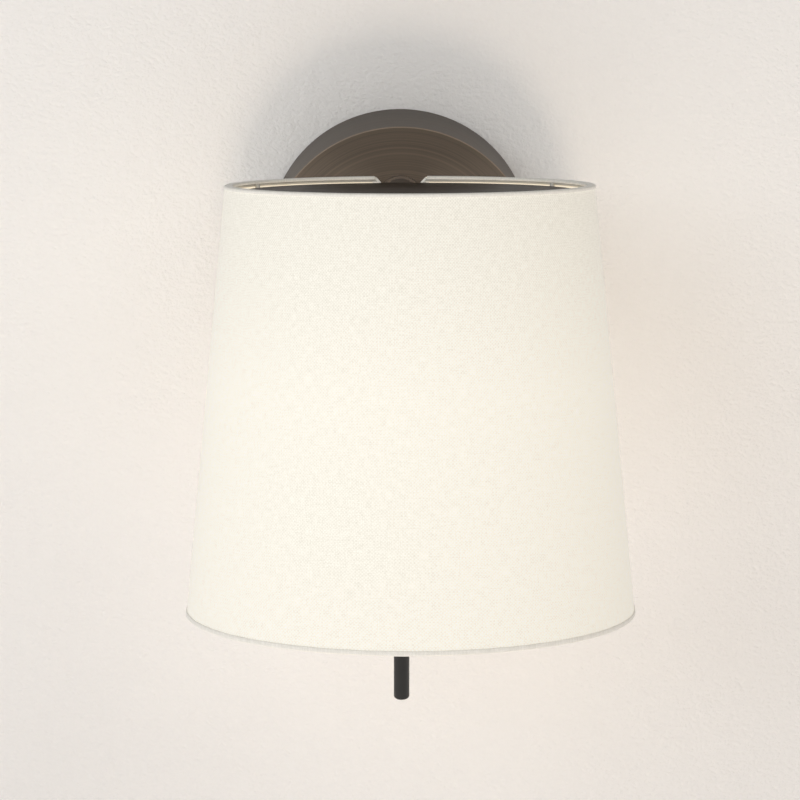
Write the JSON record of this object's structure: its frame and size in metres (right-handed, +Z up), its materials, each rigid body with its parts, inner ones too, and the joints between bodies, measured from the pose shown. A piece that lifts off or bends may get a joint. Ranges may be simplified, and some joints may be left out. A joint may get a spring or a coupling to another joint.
{
  "type": "wall light",
  "caption": "Round wall plate with a short arm that carries a tapered fabric shade on a friction tilt knuckle, with a lampholder, an opal bulb and a pull rod switch.",
  "frame": {"origin": "middle of the round wall plate's back, on the wall", "axes": "+Z up, -Y out from the wall, +X to the right seen from the room"},
  "size_m": [0.2158, 0.2782, 0.3021],
  "materials": {
    "bronze": "fine turned dark bronze, satin",
    "dark_paint": "near black satin paint",
    "zinc_steel": "zinc plated",
    "brass": "plain",
    "pale_plastic": "moulded",
    "black_plastic": "moulded, half gloss",
    "ceramic": "glazed white",
    "bulb_metal": "pressed",
    "opal_glass": "opal white, satin",
    "shade_fabric": "cream linen weave",
    "lining": "smooth stiff cream backing",
    "hem": "folded cream tape",
    "white_wire": "light grey lacquered wire"
  },
  "bodies": {
    "base": {"canopy": "bronze", "wall_bracket": "zinc_steel", "side_screws": "zinc_steel", "earth_screw": "brass", "earth_washer": "zinc_steel", "terminal_block": "pale_plastic", "terminal_screws": "zinc_steel", "arm_nipple": "zinc_steel", "nipple_washer": "zinc_steel", "nipple_nut": "zinc_steel", "arm_collar": "bronze", "arm_socket": "bronze", "socket_grub_screw": "zinc_steel", "arm_tube": "bronze", "knuckle_fork": "bronze", "tilt_screw": "zinc_steel", "tilt_washers": "zinc_steel", "tilt_nut": "zinc_steel", "switch_saddle": "bronze", "saddle_grub_screw": "zinc_steel", "switch_housing": "bronze", "contact_block": "pale_plastic", "contact_pins": "brass", "return_spring": "zinc_steel", "switch_bush": "dark_paint"},
    "head": {"knuckle_tongue": "bronze", "holder_nipple": "zinc_steel", "holder_cap": "black_plastic", "holder_skirt": "black_plastic", "contact_insert": "ceramic", "centre_contact": "brass", "thread_carrier": "ceramic", "thread_shell": "brass", "bulb_cap": "bulb_metal", "bulb_globe": "opal_glass", "shade_ring_nut": "black_plastic", "shade_fabric": "shade_fabric", "shade_lining": "lining", "top_ring": "white_wire", "bottom_ring": "white_wire", "notch_frame": "white_wire", "top_hem": "hem", "bottom_hem": "hem", "shade_spider": "white_wire", "top_disc": "dark_paint", "disc_posts": "dark_paint", "disc_screws": "dark_paint"},
    "pull": {"pull_rod": "dark_paint", "plunger": "zinc_steel"}
  },
  "joints": [
    {"name": "head_tilt", "type": "hinge", "parent": "base", "child": "head", "pos_m": [0, -0.1365, 0.0315], "axis": [1, 0, 0], "range_deg": [-2, 8]},
    {"name": "rod_pull", "type": "slide", "parent": "base", "child": "pull", "axis": [0, 0, -1], "range_m": [0, 0.005], "stiffness_N_per_m": 600, "springref_m": -0.002, "deforming": ["return_spring"]}
  ]
}
